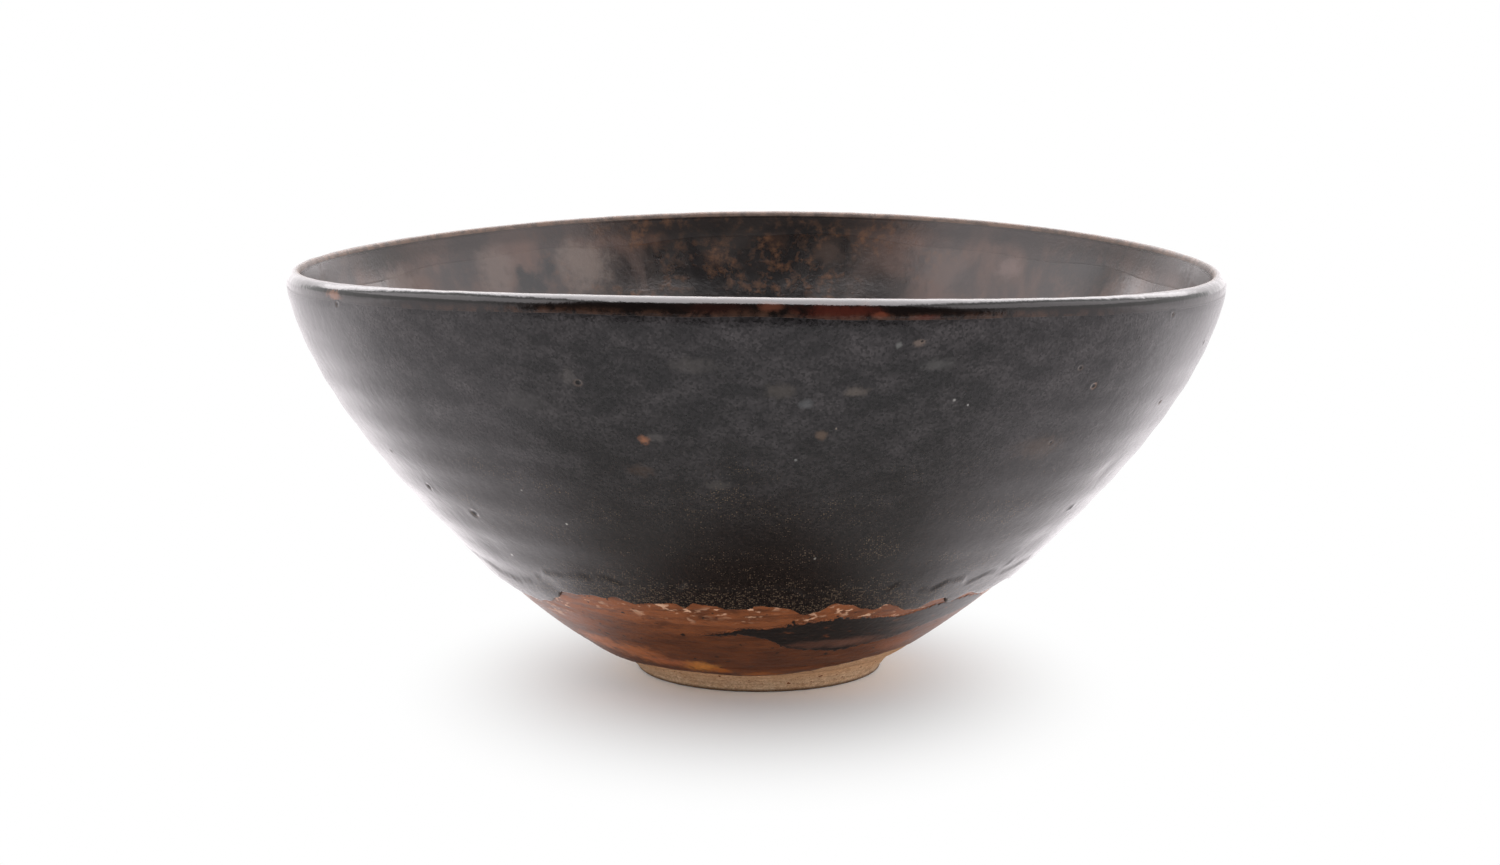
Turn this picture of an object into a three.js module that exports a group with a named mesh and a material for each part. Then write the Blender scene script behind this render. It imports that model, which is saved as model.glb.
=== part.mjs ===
// A hand-thrown stoneware bowl: a wide wall that flares from a small foot ring, with an iron glaze.
// Millimetres, +Z up. The origin is the middle of the foot, on the surface that the bowl stands on.
// The front is the -Y side, and +X is to its right.
//
// The clay and the coats on it are separate closed solids, and each lies on the next face to face:
//   clay_body      thrown wall and floor, with a flat seat under it for the foot
//   foot_ring      ring of bare clay that is luted to that seat
//   iron_wash      thin brown slip round the lower wall
//   glaze_streak   dark streak of glaze across the wash
//   outer_glaze    black glaze outside, with a rolled lower edge over the wash
//   inner_glaze    black glaze inside
//   rim_glaze      glossy dressing over the lip
import * as THREE from "three";

const degrees = THREE.MathUtils.degToRad;

// Sizes of the thrown body
const rimRadius = 74.95; // outside of the wall, where the round of the lip starts
const rimHeight = 66.2; // the same place, above the table
const lipThickness = 1.8;
const seatRadius = 22.8; // outside of the seat, where the foot ring meets the body
const shoulderRadius = 27.9; // where the turned shoulder over the foot runs into the wall
const shoulderHeight = 2.8; // of that place over the seat
const shoulderBendShares = { radius: 0.45, height: 0.18 }; // bend of the shoulder, from the seat up to it
const floorThickness = 5.4; // from the seat up to the inside of the bowl
const recessDepth = 1.1; // hollow that is turned into the floor inside the foot ring
const recessRound = 1.6; // width of the round between the hollow and the seat
const nippleRadius = 3.2; // of the small cone that the turning tool leaves in the middle
const nippleHeight = 0.7;

// Sizes of the foot ring
const footHeight = 3.4;
const footRadius = 20.1; // outside of the ring, on the table
const footWidth = 5.0; // of the flat face that stands on the table
const footChamfer = 0.35;
const footDraft = 0.8; // how much wider the ring is inside at the table than at the seat
const footFlareShares = { radius: 0.62, height: 0.45 }; // bend of the flare, from its foot to its top

// Bends of the wall, outside and inside: the angle that it starts at, the angle that it meets the lip
// at, and how far it holds to each, as shares of the straight line from its start to the lip
const outerBends = { start: degrees(32.7), startShare: 0.214, end: degrees(81.3), endShare: 0.305 };
const innerBends = { start: degrees(0), startShare: 0.36, end: degrees(72.8), endShare: 0.345 };

// Marks of the hand and the kiln: two sides of the rim sink while two rise, the whole rim tips to the
// right, the front of the lip stands a little higher, and the lowest part of the wall leans to the left
const saddleHeight = 1.36;
const saddleTurn = degrees(-7.5);
const rimTipHeight = 0.22;
const frontRiseHeight = 0.38;
const frontRiseTurn = degrees(-93);
const frontRiseSharpness = 3; // power of the cosine that it falls away with to both sides
const warpStartShare = 0.3; // of the rim's height, below which the wall isn't warped
const lowLeanWidth = 0.65;
const lowLeanShare = 0.33; // of the rim's height, above which the wall doesn't lean

// Sizes of the coats
const glazeThickness = 0.45;
const glazeLipThickness = 0.2; // where it runs thin beside the lip
const glazeCrestThickness = 0.1; // halfway round the lip
const rollThickness = 0.64; // of the roll that the melted glaze gathers into at its lower edge
const rollWidth = 2.6; // from the edge up to where the glaze has its own thickness
const rollShares = { front: 0.16, crown: 0.45 }; // of that width, where the roll starts and is thickest
const rollFrontShare = 0.75; // thickness there, as a share of the roll's
const washThickness = 0.2;
const washOverlap = 4.4; // how far the wash runs up under the glaze
const washFade = 0.8; // over which the wash thins out at each edge
const rimGlazeThickness = 0.15;
const rimGlazeDepth = 1.2; // how far it comes down outside from the start of the lip's round
const rimGlazeInnerDepth = 2.2;
const rimGlazeFade = 0.5;
const streakThickness = 0.16;

// Lower edges of the coats: how far each one wanders up and down, and its waves, each as a share of
// that, the number of waves round the bowl and their turn
const glazeEdgeHeight = 18.5;
const glazeWanderHeight = 1;
const glazeWaveShares = [
  [1, 1, degrees(135)],
  [0.5, 2, degrees(260)],
  [0.3, 9, degrees(40)],
];
const bareBandHeight = 1.1; // of the clay that shows between the seat and the wash
const washWanderHeight = 0.85;
const washWaveShares = [
  [1, 2, degrees(70)],
  [0.35, 1, degrees(20)],
];
const rimGlazeWanderHeight = 0.14;
const rimGlazeWaveShares = [
  [1, 3, degrees(20)],
  [0.6, 7, degrees(70)],
];

// The streak: where it starts and ends round the bowl from +X, and its places on the wash that shows,
// as shares of the way from the glaze down to the wash's lower edge
const streakStart = degrees(258);
const streakEnd = degrees(326);
const streakMiddleShare = 0.385;
const streakHalfShare = 0.24;
const streakTipShare = 0.25; // of its half height, which is left at its two tips
const streakBluntness = 0.8; // under 1 makes the tips blunter

// Grid of the mesh: columns round the bowl, and rows as shares of the stretch that they divide
const columns = 60;
const innerRowShares = [0.16, 0.31, 0.46, 0.6, 0.73, 0.86];
const lipTurns = [180, 135, 90, 45, 0].map(degrees);
const wallRowShares = [0.2, 0.42, 0.65, 0.86];
const streakRowShares = [-1, -0.6, 0, 0.6, 1];
const halvings = 40; // in the search for a height on a curve

const fullTurn = 2 * Math.PI;
const lipRadius = lipThickness / 2;
const seatHeight = footHeight;
const floorHeight = seatHeight + floorThickness;
const recessRadius = footRadius - footWidth - footDraft;

const mix = (from, to, share) => from + (to - from) * share;
const wander = (height, waveShares, angle) =>
  waveShares.reduce((sum, [share, count, turn]) => sum + height * share * Math.cos(count * angle + turn), 0);
const glazeEdge = (angle) => glazeEdgeHeight + wander(glazeWanderHeight, glazeWaveShares, angle);
const washEdge = (angle) =>
  seatHeight + bareBandHeight + wander(washWanderHeight, washWaveShares, angle);
const rimGlazeEdge = (angle) =>
  rimHeight - rimGlazeDepth + wander(rimGlazeWanderHeight, rimGlazeWaveShares, angle);

// One face of the wall, as a curve in the plane of radius and height.
function wallCurve(start, end, bends) {
  const chord = start.distanceTo(end);
  const leave = new THREE.Vector2(Math.cos(bends.start), Math.sin(bends.start));
  const arrive = new THREE.Vector2(Math.cos(bends.end), Math.sin(bends.end));
  return new THREE.CubicBezierCurve(
    start,
    start.clone().addScaledVector(leave, bends.startShare * chord),
    end.clone().addScaledVector(arrive, -bends.endShare * chord),
    end,
  );
}
const seatCorner = new THREE.Vector2(seatRadius, seatHeight);
const shoulderTop = new THREE.Vector2(shoulderRadius, seatHeight + shoulderHeight);
const shoulderBend = new THREE.Vector2(
  mix(seatCorner.x, shoulderTop.x, shoulderBendShares.radius),
  mix(seatCorner.y, shoulderTop.y, shoulderBendShares.height),
);
const shoulder = new THREE.QuadraticBezierCurve(seatCorner, shoulderBend, shoulderTop);
const outerWall = wallCurve(shoulderTop, new THREE.Vector2(rimRadius, rimHeight), outerBends);
const floorMiddle = new THREE.Vector2(0, floorHeight);
const innerWall = wallCurve(floorMiddle, new THREE.Vector2(rimRadius - lipThickness, rimHeight), innerBends);
const lipMiddle = new THREE.Vector2(rimRadius - lipRadius, rimHeight);

function shareAtHeight(curve, height) {
  let low = 0;
  let high = 1;
  for (let step = 0; step < halvings; step += 1) {
    const middle = (low + high) / 2;
    if (curve.getPoint(middle).y < height) low = middle;
    else high = middle;
  }
  return (low + high) / 2;
}

// A place on the clay: its radius and height, and the direction that faces away from the clay.
function outerPlace(height, angle) {
  const curve = height < shoulderTop.y ? shoulder : outerWall;
  const share = shareAtHeight(curve, height);
  const along = curve.getTangent(share);
  const at = curve.getPoint(share);
  const leanShare = (height - seatHeight) / (lowLeanShare * rimHeight - seatHeight);
  const lean = lowLeanWidth * Math.sin(Math.PI * Math.sqrt(THREE.MathUtils.clamp(leanShare, 0, 1)));
  at.x -= lean * Math.cos(angle);
  return { at, out: new THREE.Vector2(along.y, -along.x) };
}
function innerPlace(share) {
  const along = innerWall.getTangent(share);
  return { at: innerWall.getPoint(share), out: new THREE.Vector2(-along.y, along.x) };
}
function lipPlace(turn) {
  const out = new THREE.Vector2(Math.cos(turn), Math.sin(turn));
  return { at: lipMiddle.clone().addScaledVector(out, lipRadius), out };
}
function underPlace(radius, height) {
  return { at: new THREE.Vector2(radius, height), out: new THREE.Vector2(0, -1) };
}

// How far the streak has swollen at an angle, from 0 past its tips to 1 in its middle.
function streakSwell(angle) {
  const along = (angle - streakStart) / (streakEnd - streakStart);
  return along > 0 && along < 1 ? Math.sin(Math.PI * along) ** streakBluntness : 0;
}
function streakShare(angle, acrossShare) {
  return streakMiddleShare + streakHalfShare * mix(streakTipShare, 1, streakSwell(angle)) * acrossShare;
}

// Rows of the grid, from the middle of the floor up the inside, over the lip and down the outside.
// Each row gives its place at an angle, and the thickness of every coat there.
const bare = { wash: 0, streak: 0, outer: 0, inner: 0, rim: 0 };
const rows = [];
const addRow = (place, coats) => rows.push({ place, ...bare, ...coats });

const rimBandShare = shareAtHeight(innerWall, rimHeight - rimGlazeInnerDepth);
const rimFullShare = shareAtHeight(innerWall, rimHeight - rimGlazeInnerDepth + rimGlazeFade);
addRow(() => innerPlace(0), { inner: glazeThickness });
innerRowShares.forEach((share) => addRow(() => innerPlace(share * rimBandShare), { inner: glazeThickness }));
addRow(() => innerPlace(rimBandShare), { inner: glazeThickness });
addRow(() => innerPlace(rimFullShare), { inner: glazeThickness, rim: rimGlazeThickness });
lipTurns.forEach((turn) => {
  const side = Math.cos(turn);
  const thickness = side ** 2 * glazeLipThickness;
  const onCrest = Math.abs(turn - Math.PI / 2) < degrees(1);
  const glaze = onCrest ? 0 : Math.max(thickness, glazeCrestThickness);
  const coats = side < 0 ? { inner: glaze } : { outer: glaze };
  addRow(() => lipPlace(turn), { ...coats, rim: rimGlazeThickness });
});
addRow((angle) => outerPlace(rimGlazeEdge(angle) + rimGlazeFade, angle), {
  outer: mix(glazeLipThickness, glazeThickness, 1 / 2),
  rim: rimGlazeThickness,
});
addRow((angle) => outerPlace(rimGlazeEdge(angle), angle), { outer: glazeThickness });
const washTop = (angle) => glazeEdge(angle) + washOverlap;
wallRowShares.forEach((share) => {
  const height = (angle) => mix(rimGlazeEdge(angle), washTop(angle), share);
  addRow((angle) => outerPlace(height(angle), angle), { outer: glazeThickness });
});
addRow((angle) => outerPlace(washTop(angle), angle), { outer: glazeThickness });
[
  [washOverlap - washFade, glazeThickness],
  [rollWidth, glazeThickness],
  [rollWidth * rollShares.crown, rollThickness],
  [rollWidth * rollShares.front, rollThickness * rollFrontShare],
  [0, 0],
].forEach(([aboveEdge, outer]) => {
  addRow((angle) => outerPlace(glazeEdge(angle) + aboveEdge, angle), { outer, wash: washThickness });
});
streakRowShares.forEach((acrossShare) => {
  const height = (angle) => mix(glazeEdge(angle), washEdge(angle), streakShare(angle, acrossShare));
  const streak = Math.abs(acrossShare) < 1 ? streakThickness : 0;
  addRow((angle) => outerPlace(height(angle), angle), { wash: washThickness, streak });
});
addRow((angle) => outerPlace(washEdge(angle) + washFade, angle), { wash: washThickness });
addRow((angle) => outerPlace(washEdge(angle), angle), {});
addRow(() => underPlace(seatRadius, seatHeight), {});
addRow(() => underPlace(recessRadius, seatHeight), {});
addRow(() => underPlace(recessRadius - recessRound / 2, seatHeight + recessDepth * Math.sin(Math.PI / 3)), {});
addRow(() => underPlace(recessRadius - recessRound, seatHeight + recessDepth), {});
addRow(() => underPlace(nippleRadius, seatHeight + recessDepth), {});
addRow(() => underPlace(0, seatHeight + recessDepth - nippleHeight), {});

// How far the fired wall has risen or sunk at an angle and a height.
function warp(angle, height) {
  const rise = THREE.MathUtils.smoothstep(height, warpStartShare * rimHeight, rimHeight);
  const saddle = saddleHeight * Math.cos(2 * (angle - saddleTurn)) + rimTipHeight * Math.cos(angle);
  const frontRise = frontRiseHeight * Math.max(0, Math.cos(angle - frontRiseTurn)) ** frontRiseSharpness;
  return rise * (frontRise - saddle);
}

// The point on a row and column, lifted off the clay by the coats under it.
function pointAt(row, column, lift) {
  const angle = (fullTurn * column) / columns;
  const { at, out } = row.place(angle);
  const radius = at.x + out.x * lift;
  const height = at.y + out.y * lift + warp(angle, at.y);
  return [radius * Math.cos(angle), radius * Math.sin(angle), height];
}

// A closed solid between two faces of the grid, which meet wherever it has no thickness.
function gridSolid(base, thickness) {
  const positions = [];
  const places = new Map();
  const placeOf = (rowIndex, column, lift) => {
    const onAxis = rowIndex === 0 || rowIndex === rows.length - 1;
    const key = `${rowIndex} ${onAxis ? 0 : column % columns} ${lift}`;
    if (!places.has(key)) {
      places.set(key, positions.length / 3);
      positions.push(...pointAt(rows[rowIndex], onAxis ? 0 : column % columns, lift));
    }
    return places.get(key);
  };
  const triangles = [];
  const addTriangle = (first, second, third) => {
    if (new Set([first, second, third]).size === 3) triangles.push(first, second, third);
  };
  const angleOf = (column) => (fullTurn * (column % columns)) / columns;
  for (let rowIndex = 0; rowIndex < rows.length - 1; rowIndex += 1) {
    for (let column = 0; column < columns; column += 1) {
      const near = [rowIndex, column];
      const far = [rowIndex + 1, column + 1];
      [[near, far, [rowIndex + 1, column]], [near, [rowIndex, column + 1], far]].forEach((corners) => {
        const own = corners.map(([row, side]) => thickness(rows[row], angleOf(side)));
        if (Math.max(...own) === 0) return;
        const under = corners.map(([row, side]) => base(rows[row], angleOf(side)));
        const top = corners.map(([row, side], corner) => placeOf(row, side, under[corner] + own[corner]));
        const bottom = corners.map(([row, side], corner) => placeOf(row, side, under[corner]));
        addTriangle(top[0], top[2], top[1]);
        addTriangle(bottom[0], bottom[1], bottom[2]);
      });
    }
  }
  return closedGeometry(positions, triangles);
}

// The clay is the whole grid, from the middle of the floor round to the middle of the underside.
function claySolid() {
  const positions = [];
  rows.forEach((row, rowIndex) => {
    const onAxis = rowIndex === 0 || rowIndex === rows.length - 1;
    const count = onAxis ? 1 : columns;
    for (let column = 0; column < count; column += 1) positions.push(...pointAt(row, column, 0));
  });
  const last = positions.length / 3 - 1;
  const placeOf = (rowIndex, column) => {
    if (rowIndex === 0) return 0;
    if (rowIndex === rows.length - 1) return last;
    return 1 + (rowIndex - 1) * columns + (column % columns);
  };
  const triangles = [];
  for (let rowIndex = 0; rowIndex < rows.length - 1; rowIndex += 1) {
    for (let column = 0; column < columns; column += 1) {
      const near = placeOf(rowIndex, column);
      const far = placeOf(rowIndex + 1, column + 1);
      const across = placeOf(rowIndex + 1, column);
      const beside = placeOf(rowIndex, column + 1);
      if (far !== across) triangles.push(near, across, far);
      if (near !== beside) triangles.push(near, far, beside);
    }
  }
  return closedGeometry(positions, triangles);
}

function closedGeometry(positions, triangles) {
  const geometry = new THREE.BufferGeometry();
  geometry.setAttribute("position", new THREE.Float32BufferAttribute(positions, 3));
  geometry.setIndex(triangles);
  geometry.computeVertexNormals();
  return geometry;
}

// The foot ring: flat above and below, flared outside and drafted inside.
function footSolid() {
  const outerEdge = new THREE.Vector2(footRadius, footChamfer);
  const bend = new THREE.Vector2(
    mix(footRadius, seatRadius, footFlareShares.radius),
    mix(footChamfer, seatHeight, footFlareShares.height),
  );
  const flare = new THREE.QuadraticBezierCurve(outerEdge, bend, seatCorner);
  const innerEdge = footRadius - footWidth;
  const profile = [
    new THREE.Vector2(innerEdge + footChamfer, 0),
    new THREE.Vector2(footRadius - footChamfer, 0),
    ...flare.getPoints(3),
    new THREE.Vector2(recessRadius, seatHeight),
    new THREE.Vector2(innerEdge, footChamfer),
    new THREE.Vector2(innerEdge + footChamfer, 0),
  ];
  return new THREE.LatheGeometry(profile, columns).rotateX(Math.PI / 2);
}

// The pieces, each in its own colour and finish
const bowl = new THREE.Group();
function addPiece(name, geometry, color, roughness) {
  const piece = new THREE.Mesh(geometry, new THREE.MeshStandardMaterial({ color, roughness, metalness: 0 }));
  piece.name = name;
  bowl.add(piece);
}
const onClay = () => 0;
const onWash = (row) => row.wash;
const onGlaze = (row) => row.outer + row.inner;
addPiece("clay_body", claySolid(), "#a6866b", 0.9);
addPiece("foot_ring", footSolid(), "#a07c5c", 0.85);
addPiece("iron_wash", gridSolid(onClay, (row) => row.wash), "#5c3a27", 0.7);
addPiece("glaze_streak", gridSolid(onWash, (row, angle) => row.streak * streakSwell(angle)), "#2a2320", 0.5);
addPiece("outer_glaze", gridSolid(onWash, (row) => row.outer), "#383635", 0.42);
addPiece("inner_glaze", gridSolid(onClay, (row) => row.inner), "#302826", 0.4);
addPiece("rim_glaze", gridSolid(onGlaze, (row) => row.rim), "#3f2f2a", 0.22);

export default bowl;
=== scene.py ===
# %% [markdown]
# # A black-glazed stoneware bowl
# The imported model gives this bowl as a potter would list it: the thrown clay, its foot ring, a thin
# brown slip, and the glazes over both. This lesson rebuilds each of them with a finer surface. The
# form comes first, as points round a turned profile, and each finish follows as a node material.

# %% Load the imported bowl and list its pieces
import math

import bpy
import numpy as np
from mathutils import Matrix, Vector, noise


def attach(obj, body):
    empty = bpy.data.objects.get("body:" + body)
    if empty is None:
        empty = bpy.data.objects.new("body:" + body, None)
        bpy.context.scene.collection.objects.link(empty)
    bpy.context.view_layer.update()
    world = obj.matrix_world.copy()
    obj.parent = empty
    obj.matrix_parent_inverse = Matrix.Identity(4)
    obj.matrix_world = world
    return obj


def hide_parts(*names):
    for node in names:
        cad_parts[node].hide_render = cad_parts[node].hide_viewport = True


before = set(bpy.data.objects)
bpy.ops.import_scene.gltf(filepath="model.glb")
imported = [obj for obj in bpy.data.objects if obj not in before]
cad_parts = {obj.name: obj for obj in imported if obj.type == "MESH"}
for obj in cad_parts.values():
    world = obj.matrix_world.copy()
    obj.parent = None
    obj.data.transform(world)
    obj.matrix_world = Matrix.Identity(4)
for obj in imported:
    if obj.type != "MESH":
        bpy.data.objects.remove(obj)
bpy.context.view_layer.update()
print("pieces in the frame:", ", ".join(sorted(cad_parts)))

# %% [markdown]
# ## The camera
# The photograph was taken a little above the rim with a long lens. The bowl's rim and foot are both
# seen as ellipses, and together they fix how far the lens was and how much it looked down. A long
# lens far away and a short lens near by give the same width, but only one fits both ellipses.

# %% Place the camera where the photograph was taken
millimetre = 0.001
camera_place = Vector((-1.0, -465.0, 113.0)) * millimetre
camera_tilt = math.radians(9.1)
scene = bpy.context.scene


def placed(name, data):
    """A new object in the scene."""
    thing = bpy.data.objects.new(name, data)
    scene.collection.objects.link(thing)
    return thing


camera_data = bpy.data.cameras.new("studio_camera")
camera_data.lens = 69.25
camera_data.sensor_width = 36.0
camera = placed("studio_camera", camera_data)
camera.location = camera_place
camera.rotation_euler = (math.pi / 2 - camera_tilt, 0, 0)
scene.camera = camera
print("camera", round(camera_place.length, 3), "m from the foot")

# %% [markdown]
# ## The studio
# A product tent lights a bowl from all sides, so its shadow is only the soft darkness under the
# wall. An even white world does the same. The glaze is dark and shiny, so what it mirrors matters
# more than the light that falls on it: brighter walls to the left and right, a bright roof, and
# darkness on the side where the photographer stands. Cards stand for those. Only mirror-like rays
# see them, so they shape the shine and leave the colours and the shadow to the even light.

# %% Colours are written as sRGB hex and turned to linear here
def linear(hex_colour):
    """The linear RGBA of an sRGB colour such as #8a6b52."""
    channels = [int(hex_colour[start:start + 2], 16) / 255 for start in (1, 3, 5)]
    return (*[c / 12.92 if c <= 0.04045 else ((c + 0.055) / 1.055) ** 2.4 for c in channels], 1.0)


print("buff clay, linear:", [round(c, 3) for c in linear("#a6866b")])

# %% Add a node, and feed its inputs
def add(near, kind, inputs=None, **settings):
    """Adds a shader node to a tree, or to the tree of an output, with its settings. Each input is
    given a value, or the output that feeds it."""
    tree = near.id_data
    node = tree.nodes.new("ShaderNode" + kind)
    for name, value in settings.items():
        setattr(node, name, value)
    for name, value in (inputs or {}).items():
        if isinstance(value, bpy.types.NodeSocket):
            tree.links.new(value, node.inputs[name])
        else:
            node.inputs[name].default_value = value
    return node


def maths(operation, *values):
    """One sum of outputs and plain numbers."""
    near = next(value for value in values if isinstance(value, bpy.types.NodeSocket))
    return add(near, "Math", dict(enumerate(values)), operation=operation).outputs[0]


def greatest(first, *others):
    """The greatest of several outputs."""
    for other in others:
        first = maths("MAXIMUM", first, other)
    return first


print("an output knows the tree that it belongs to, so a sum needs no tree of its own")

# %% An even white world
world_light = 0.8
world = bpy.data.worlds.new("product_tent")
scene.world = world
world.use_nodes = True
tree = world.node_tree
tree.nodes.clear()
lit, seen = [add(tree, "Background", {"Color": linear("#ffffff"), "Strength": s}) for s in (world_light, 1.0)]
rays = add(tree, "LightPath").outputs
direct = greatest(rays["Is Camera Ray"], rays["Is Glossy Ray"], rays["Is Transmission Ray"])
both = add(tree, "MixShader", {0: direct, 1: lit.outputs[0], 2: seen.outputs[0]})
add(tree, "OutputWorld", {"Surface": both.outputs[0]})
scene.view_settings.view_transform = "Standard"
print("world strength", world_light)

# %% Two soft lamps, low on the left and right, which reach under the wall
def soft_lamp(name, place, aim, width, height, radiance):
    """A flat lamp of even brightness that faces aim, for colour and shade but not for shine."""
    lamp_data = bpy.data.lights.new(name, "AREA")
    lamp_data.shape = "RECTANGLE"
    lamp_data.size, lamp_data.size_y = width, height
    lamp_data.energy = 4 * radiance * width * height
    lamp = placed(name, lamp_data)
    lamp.location = place
    lamp.rotation_euler = (Vector(place) - Vector(aim)).to_track_quat("Z", "Y").to_euler()
    lamp.visible_camera = lamp.visible_glossy = False


soft_lamp("left_lamp", (-0.9, -0.2, 0.3), (0, -0.05, 0.0), 1.4, 0.5, 0.9)
soft_lamp("right_lamp", (0.9, -0.2, 0.3), (0, -0.05, 0.0), 1.4, 0.5, 1.3)

# %% [markdown]
# The table needs more than a plain colour: near the bowl it is paper, and further off it fades into
# the backdrop. Such a change is a ramp over a distance. A few small functions make ramps, products
# and mixed colours, each as one node, and all the finishes of the bowl use them again.

# %% Ramps, products, mixed colours and distances
def times(first, *others):
    """The product of several outputs."""
    for other in others:
        first = maths("MULTIPLY", first, other)
    return first


def ramp(value, low, high, start=0.0, end=1.0, easing="LINEAR"):
    """A number that goes from start to end while value goes from low to high."""
    limits = {"Value": value, "From Min": low, "From Max": high, "To Min": start, "To Max": end}
    return add(value, "MapRange", limits, interpolation_type=easing).outputs[0]


def eased(value, low, high, end=1.0):
    """A ramp from 0 to end that starts and stops softly."""
    return ramp(value, low, high, 0.0, end, "SMOOTHSTEP")


def mixed(share, under, over):
    """One colour laid over another by a share. Each is a hex colour or an output."""
    under, over = [linear(colour) if isinstance(colour, str) else colour for colour in (under, over)]
    return add(share, "Mix", {0: share, 6: under, 7: over}, data_type="RGBA").outputs[2]


def stretched(place, shares):
    """A place with each of its axes made longer or shorter."""
    return add(place, "VectorMath", {0: place, 1: shares}, operation="MULTIPLY").outputs[0]


def away_from(centre, place, shares=(1.0, 1.0, 1.0)):
    """How far a place is from a centre, along stretched axes."""
    away = add(place, "VectorMath", {0: place, 1: centre}, operation="SUBTRACT").outputs[0]
    return add(place, "VectorMath", {0: stretched(away, shares)}, operation="LENGTH").outputs["Value"]


def axes(place):
    """The X, Y and Z of a place."""
    return add(place, "SeparateXYZ", {"Vector": place}).outputs[:]


def empty_material(name):
    """A material that has no nodes yet, and its tree."""
    material = bpy.data.materials.new(name)
    material.use_nodes = True
    material.node_tree.nodes.clear()
    return material, material.node_tree


print("ramps are of two kinds, even and eased")

# %% A flat sheet, for the table and the cards
def flat_sheet(name, corners):
    """A plain four-cornered sheet, for the stage."""
    mesh = bpy.data.meshes.new(name)
    mesh.from_pydata(corners, [], [(0, 1, 2, 3)])
    sheet = placed(name, mesh)
    return sheet


def level(x0, x1, y0, y1, z):
    return [(x0, y0, z), (x1, y0, z), (x1, y1, z), (x0, y1, z)]


table_half = 2.0
table = flat_sheet("table", level(-table_half, table_half, -table_half, table_half, 0))
print("table", 2 * table_half, "m wide")

# %% The table's paper, which fades into the white backdrop
# All distances are in metres. To the camera, the paper is shaded round the foot and white further off.
middle = (0, 0, 0)
shade_middle = (0.0, -0.012, 0.0)
shade_shape = (1.3, 1.0, 1.0)  # the shade reaches further to the front than to the sides
fade_start = 0.010
fade_end = 0.077
# In mirror-like rays it turns white nearer to the bowl behind it and beside it than at the front.
mirrored_start = 0.07
mirrored_end = 0.20
glow_behind = 0.75  # how much brighter than white it is behind the bowl, in such rays
glow_far = 0.32  # further off behind it
glow_beside = 0.3  # and to its left and right
glow_lost = 0.2  # the right is this much darker
under_shape = (2.3, 1.0, 1.0)  # and it is dim under the wall, in a narrow patch
paper, tree = empty_material("white_background_paper")
where = add(tree, "TexCoord").outputs["Object"]
rays = add(tree, "LightPath").outputs
seen, glossy = rays["Is Camera Ray"], rays["Is Glossy Ray"]
x, y, _ = axes(where)
aside = maths("ABSOLUTE", x)
distance = away_from(middle, where)
faded = eased(away_from(shade_middle, where, shade_shape), fade_start, fade_end)
behind = eased(y, -0.03, 0.06)
near_behind = times(behind, eased(distance, 0.032, 0.066))
sector = eased(maths("MULTIPLY_ADD", aside, 0.9, y), -0.03, 0.02)
beside = times(eased(aside, 0.020, 0.047), sector)
mirrored = greatest(eased(distance, mirrored_start, mirrored_end), near_behind, beside)
further = ramp(y, 0.06, 0.17, glow_behind, glow_far)
at_right = ramp(x, 0.04, 0.10, -1.0, -1.0 - glow_lost)
glow = maths("MULTIPLY_ADD", behind, further, 1.0)
glow = maths("MULTIPLY_ADD", beside, glow_beside, glow)
glow = maths("MULTIPLY_ADD", maths("ADD", glow, at_right), glossy, 1.0)
under_wall = eased(away_from(middle, where, under_shape), 0.080, 0.045)
tint = mixed(times(under_wall, glossy), "#f7f6f6", "#7d7370")
matt = add(tree, "BsdfDiffuse", {"Color": tint})
white = add(tree, "Emission", {"Color": mixed(glossy, "#ffffff", "#fff9fc"), "Strength": glow})
share = greatest(times(faded, seen), times(mirrored, glossy))
sheet = add(tree, "MixShader", {0: share, 1: matt.outputs[0], 2: white.outputs[0]})
add(tree, "OutputMaterial", {"Surface": sheet.outputs[0]})
table.data.materials.append(paper)
print("table fades to white from", fade_start, "to", fade_end, "m")

# %% The cards round the bowl
def card(name, corners, hex_colour, brightness):
    """A flat card that only mirror-like rays see."""
    sheet = flat_sheet(name, corners)
    for ray in ("camera", "diffuse", "shadow", "transmission"):
        setattr(sheet, "visible_" + ray, False)
    material, tree = empty_material(name + "_paper")
    glow = add(tree, "Emission", {"Color": linear(hex_colour), "Strength": brightness})
    add(tree, "OutputMaterial", {"Surface": glow.outputs[0]})
    sheet.data.materials.append(material)


def upright(x, y0, y1, z0, z1):
    return [(x, y0, z0), (x, y1, z0), (x, y1, z1), (x, y0, z1)]


def facing_back(y, half, z0, z1):
    return [(-half, y, z0), (half, y, z0), (half, y, z1), (-half, y, z1)]


paper_white = "#fffafc"
room_dark = "#343132"
room_grey = "#9a9698"
front_floor = [(-0.26, -0.2, 0.001), (0.26, -0.2, 0.001), (1.6, -1.1, 0.001), (-1.6, -1.1, 0.001)]
card("left_card", upright(-0.85, -0.75, 0.4, 0.36, 1.05), paper_white, 2.7)
card("right_card", upright(0.85, -0.75, 0.4, 0.36, 1.05), paper_white, 2.3)
card("front_card", facing_back(-1.1, 1.3, 0.0, 1.55), room_dark, 1.0)
card("wider_card", facing_back(-1.12, 1.85, 0.0, 1.55), room_grey, 1.0)
card("front_floor_card", front_floor, room_dark, 1.0)
card("roof_card", level(-0.7, 0.7, -0.8, 1.2, 1.3), paper_white, 7.5)
card("back_card", facing_back(1.25, 1.6, 0.6, 1.3), paper_white, 5.5)
for side in (-1, 1):  # these two brighten the lip where it turns away at the left and the right
    corners = [(side * x, 1.2, z) for x, z in ((0.26, 0.0), (1.1, 0.0), (1.1, 0.6), (0.26, 0.6))]
    card("low_card", corners, paper_white, 2.0)
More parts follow.
